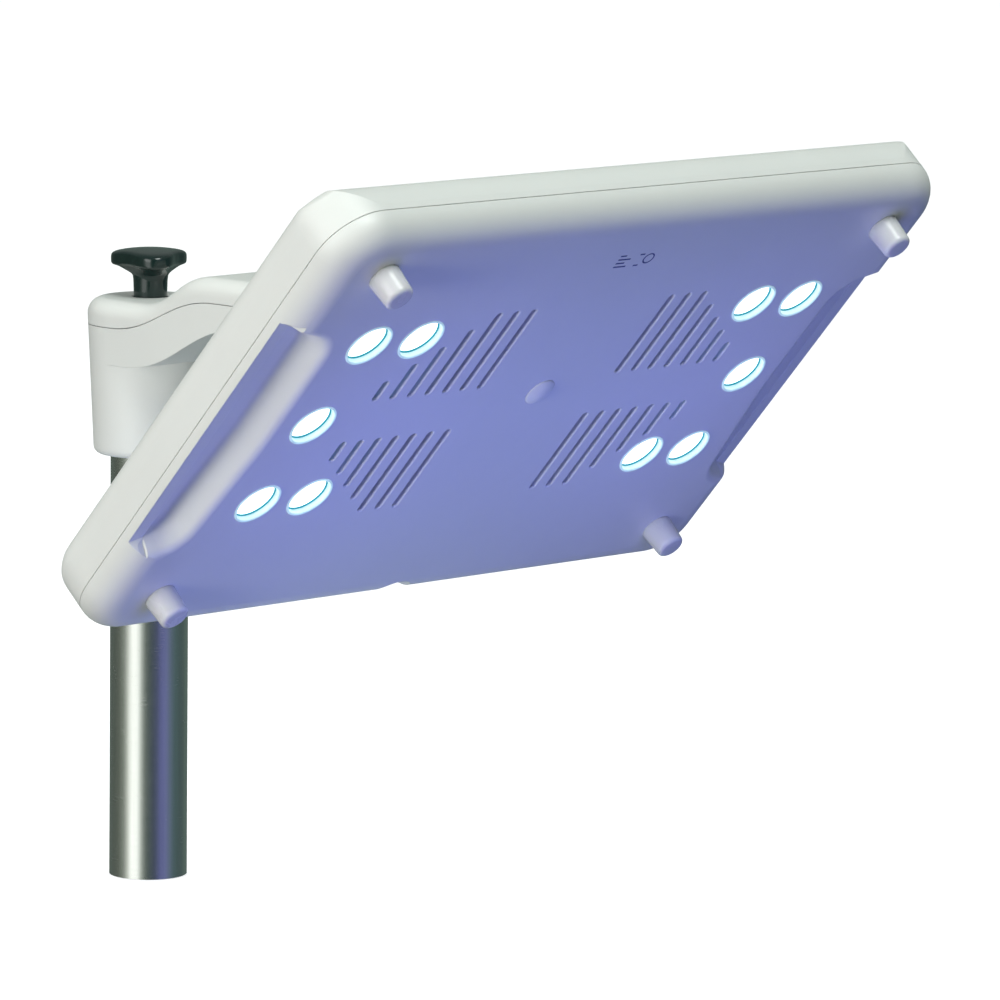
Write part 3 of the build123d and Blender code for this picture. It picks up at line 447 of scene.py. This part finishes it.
# ------------------------------------------------------------------ printed mark
def printed_mark():
    """Small row of plain bars and a ring, printed near the front edge of the underside."""
    bars = [(-12.5, -97.0, 8.0, 0.9), (-12.5, -99.4, 5.5, 0.9), (-12.5, -101.8, 8.0, 0.9),
            (-12.5, -104.2, 4.0, 0.9), (0.5, -97.0, 3.0, 0.9), (0.5, -104.2, 3.0, 0.9)]
    ink = 0.04
    vertices, faces = [], []
    for x, y, width, height in bars:
        start = len(vertices)
        for z in (0.02, -ink):
            vertices += [in_head(x, y, z), in_head(x + width, y, z), in_head(x + width, y + height, z),
                         in_head(x, y + height, z)]
        faces += [tuple(start + index for index in face) for face in
                  ((3, 2, 1, 0), (4, 5, 6, 7), (0, 1, 5, 4), (1, 2, 6, 5), (2, 3, 7, 6), (3, 0, 4, 7))]
    ring = [(3.4, 0.02), (2.6, 0.02), (2.6, -ink), (3.4, -ink)]
    points, quads = rings_of([(radius * MM, height * MM) for radius, height in ring],
                             in_head(8.0, -100.6, 0), head_across, head_rear, head_out, 40)
    start = len(vertices)
    vertices += points
    faces += [tuple(start + index for index in quad) for quad in quads]
    piece = mesh_piece("printed_mark", vertices, faces, (printed_ink(),), "head", smooth=False)


printed_mark()

# ------------------------------------------------------------------ lit window rims
WINDOW_RADIUS = 11.5
SHELL_WALL = 3.1
window_row, window_pitch = -6.8, 52.6
windows = [(side * x, window_row + row * window_pitch) for side in (-1, 1)
           for x, rows in ((142.5, (-1, 0, 1)), (110.0, (-1, 1))) for row in rows]


def window_rims():
    """Lining of each opening, pale with painted cyan light, with a thin teal lip, glowing with painted teal light,
    where it meets the lens.
    """
    outer = WINDOW_RADIUS - 0.03
    lining = [(outer, -0.02), (outer + 0.75, -0.02), (outer + 0.70, -0.30), (outer + 0.40, -0.50),
              (outer, -0.50), (outer - 0.30, -0.32), (outer - 0.42, 0.0), (outer - 0.42, SHELL_WALL - 0.12),
              (outer, SHELL_WALL - 0.12)]
    lip = [(outer - 0.45, SHELL_WALL - 0.75), (outer - 1.05, SHELL_WALL - 0.50),
           (outer - 1.05, SHELL_WALL - 0.06), (outer - 0.45, SHELL_WALL - 0.06)]
    vertices, faces, kinds = [], [], []
    for x, y in windows:
        for kind, profile in enumerate((lining, lip)):
            sized = [(radius * MM, height * MM) for radius, height in profile]
            points, quads = rings_of(sized, in_head(x, y, 0), head_across, head_rear, head_out, 64)
            start = len(vertices)
            vertices += points
            faces += [tuple(start + index for index in quad) for quad in quads]
            kinds += [kind] * len(quads)
    piece = mesh_piece("window_rims", vertices, faces, (lit_rim(), rim_gasket_with_painted_glow()), "head", kinds)


window_rims()


# ------------------------------------------------------------------ floor, light and camera
FLOOR_GLOW = 0.7                    # lifts the floor to white, for the camera only


def studio_floor():
    """Large pale floor; it looks white to the camera but throws little light up at the dark underside."""
    size = 14.0
    mesh = bpy.data.meshes.new("floor")
    corners = [(-size, -size, 0), (size, -size, 0), (size, size, 0), (-size, size, 0)]
    mesh.from_pydata(corners, [], [(0, 1, 2, 3)])
    floor = bpy.data.objects.new("floor", mesh)
    bpy.context.scene.collection.objects.link(floor)
    floor.location.z = -0.5 * MM
    finish = Finish("floor_paint", (0.93, 0.93, 0.93), 0.85)
    finish.tint(finish.math("MULTIPLY", finish.noise(0.6, 3), 0.2), (0.90, 0.90, 0.90))
    seen = finish.add("ShaderNodeLightPath").outputs["Is Camera Ray"]
    dimmed = finish.add("ShaderNodeMix", data_type="RGBA")
    finish.link(seen, dimmed.inputs["Factor"])
    dimmed.inputs[6].default_value = (0.10, 0.10, 0.10, 1)
    finish.link(finish.colour, dimmed.inputs[7])
    finish.colour = dimmed.outputs[2]
    finish.link(finish.math("MULTIPLY", seen, FLOOR_GLOW), finish.shader.inputs["Emission Strength"])
    mesh.materials.append(finish.done(Emission_Color=(1, 1, 1, 1)))
    floor.visible_glossy = False


WORLD_DARK_FROM, WORLD_LIGHT_FROM = -0.22, 0.50
WORLD_BELOW = (0.012, 0.022, 0.045)
WORLD_ABOVE = (0.45, 0.48, 0.465)
WORLD_OVERHEAD = (0.26, 0.29, 0.28)     # as seen in reflections
HORIZON = [(0, (0.14, 0.20, 0.18)), (120, (0.12, 0.14, 0.12)), (138, (0.19, 0.22, 0.18)),
           (153, (0.26, 0.30, 0.26)), (166, (1.0, 1.05, 0.96)), (174, (1.9, 1.95, 1.9)),
           (194, (1.9, 1.95, 1.9)), (204, (0.60, 0.68, 0.62)), (214, (0.13, 0.17, 0.14)),
           (230, (0.07, 0.10, 0.10)), (252, (0.09, 0.11, 0.19)), (264, (0.20, 0.22, 0.54)),
           (280, (0.22, 0.24, 0.52)), (292, (0.18, 0.24, 0.34)), (308, (0.10, 0.17, 0.17)),
           (345, (0.09, 0.13, 0.13)), (360, (0.14, 0.20, 0.18))]


def studio_world():
    """White for the camera; as a light it is bright above and violet-dim from where the underside looks.
    Reflections see the softboxes and flags of a studio as bright and dark stretches round the horizon."""
    world = bpy.data.worlds.new("studio")
    bpy.context.scene.world = world
    world.use_nodes = True
    nodes, links = world.node_tree.nodes, world.node_tree.links

    def add(kind, *sources, **settings):
        node = nodes.new(kind)
        for key, value in settings.items():
            setattr(node, key, value)
        for socket, source in zip(node.inputs, sources):
            if isinstance(source, bpy.types.NodeSocket):
                links.new(source, socket)
            elif source is not None:
                socket.default_value = source
        return node

    def mixed(factor, first, second):
        node = add("ShaderNodeMix", factor, data_type="RGBA")
        for socket, source in ((node.inputs[6], first), (node.inputs[7], second)):
            if isinstance(source, bpy.types.NodeSocket):
                links.new(source, socket)
            else:
                socket.default_value = (*source, 1)
        return node.outputs[2]

    path = add("ShaderNodeLightPath")
    direction = add("ShaderNodeTexCoord").outputs["Generated"]
    upward = add("ShaderNodeVectorMath", direction, head_out, operation="DOT_PRODUCT").outputs["Value"]
    lit = add("ShaderNodeMapRange", upward, WORLD_DARK_FROM, WORLD_LIGHT_FROM, 0.0, 1.0).outputs["Result"]
    soft = mixed(lit, WORLD_BELOW, WORLD_ABOVE)

    parts = add("ShaderNodeSeparateXYZ", direction)
    angle = add("ShaderNodeMath", parts.outputs["Y"], parts.outputs["X"], operation="ARCTAN2").outputs[0]
    turn = add("ShaderNodeMapRange", angle, -pi, pi, 0.5, 1.5).outputs["Result"]
    ramp = add("ShaderNodeValToRGB", add("ShaderNodeMath", turn, 1.0, operation="FLOORED_MODULO").outputs[0])
    stops = ramp.color_ramp.elements
    for degrees, colour in HORIZON[1:-1]:
        stops.new(degrees / 360).color = (*colour, 1)
    stops[0].color = (*HORIZON[0][1], 1)
    stops[len(stops) - 1].color = (*HORIZON[-1][1], 1)
    steep = add("ShaderNodeMapRange", parts.outputs["Z"], 0.15, 0.5, 0.0, 1.0).outputs["Result"]
    reflected = mixed(steep, ramp.outputs["Color"], WORLD_OVERHEAD)

    seen = mixed(path.outputs["Is Glossy Ray"], soft, reflected)
    final = mixed(path.outputs["Is Camera Ray"], seen, (1.0, 1.0, 1.0))
    links.new(final, nodes["Background"].inputs["Color"])


def panel(name, place, target, width, height, power, colour=(1, 1, 1), reflected=False, body=None):
    """Soft rectangular light aimed at a target. It shows in reflections only when asked,
    and moves with a body when one is named."""
    light = bpy.data.lights.new(name, "AREA")
    light.shape = "RECTANGLE"
    light.size, light.size_y = width, height
    light.energy, light.color = power, colour
    lamp = bpy.data.objects.new(name, light)
    bpy.context.scene.collection.objects.link(lamp)
    lamp.location = place
    lamp.rotation_euler = (Vector(target) - Vector(place)).to_track_quat("-Z", "Y").to_euler()
    lamp.visible_camera = False
    lamp.visible_glossy = reflected
    if body:
        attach(lamp, body)


studio_floor()
studio_world()
middle = in_head(0, 0, 0)
violet = (0.20, 0.20, 1.0)
panel("left_softbox", (-2.2, -0.2, 0.9), middle, 1.6, 1.2, 11, reflected=True)
panel("left_low_softbox", (-2.2, -0.5, 0.25), middle, 1.0, 0.36, 21)
panel("top_softbox", (-0.2, -1.6, 2.4), middle, 1.2, 1.2, 42, (0.93, 1.0, 0.98),
      reflected=True)
panel("glow_below", in_head(-20, 30, -260), in_head(-20, 30, 0), 0.30, 0.22, 0.15, (0.20, 0.45, 0.95),
      body="head")
for side, power in ((-1, 0.18), (1, 0.16)):
    panel("window_glow", in_head(120 * side, 10, -170), in_head(120 * side, 10, 0), 0.12, 0.18, power,
          violet, body="head")
panel("under_arm", (-0.05, -0.08, 0.02), (0, -0.08, 0.25), 0.14, 0.14, 0.15, (0.75, 0.87, 1.0))
for side in (-1, 1):
    panel("vent_glow", in_head(95 * side, -5, 4), in_head(95 * side, -5, 40), 0.07, 0.12, 0.14,
          violet, body="head")


VIEW_AZIMUTH, VIEW_ELEVATION, VIEW_ROLL = radians(224.2), radians(8.11), radians(0.65)
VIEW_DISTANCE = 3.2
VIEW_AIM = Vector((-0.0419, -0.2789, 0.2186))


def camera():
    """View from the left, in front and a little above, with a long lens."""
    lens = bpy.data.cameras.new("camera")
    lens.sensor_width, lens.lens = 36.0, 253.2
    lens.clip_end = 60
    view = bpy.data.objects.new("camera", lens)
    bpy.context.scene.collection.objects.link(view)
    swing = Matrix.Rotation(VIEW_AZIMUTH + pi / 2, 4, "Z")
    tip = Matrix.Rotation(pi / 2 - VIEW_ELEVATION, 4, "X")
    roll = Matrix.Rotation(VIEW_ROLL, 4, "Z")
    pull = Matrix.Translation((0, 0, VIEW_DISTANCE))
    view.matrix_world = Matrix.Translation(VIEW_AIM) @ swing @ tip @ roll @ pull
    bpy.context.scene.camera = view


camera()
bpy.context.scene.view_settings.view_transform = "Standard"
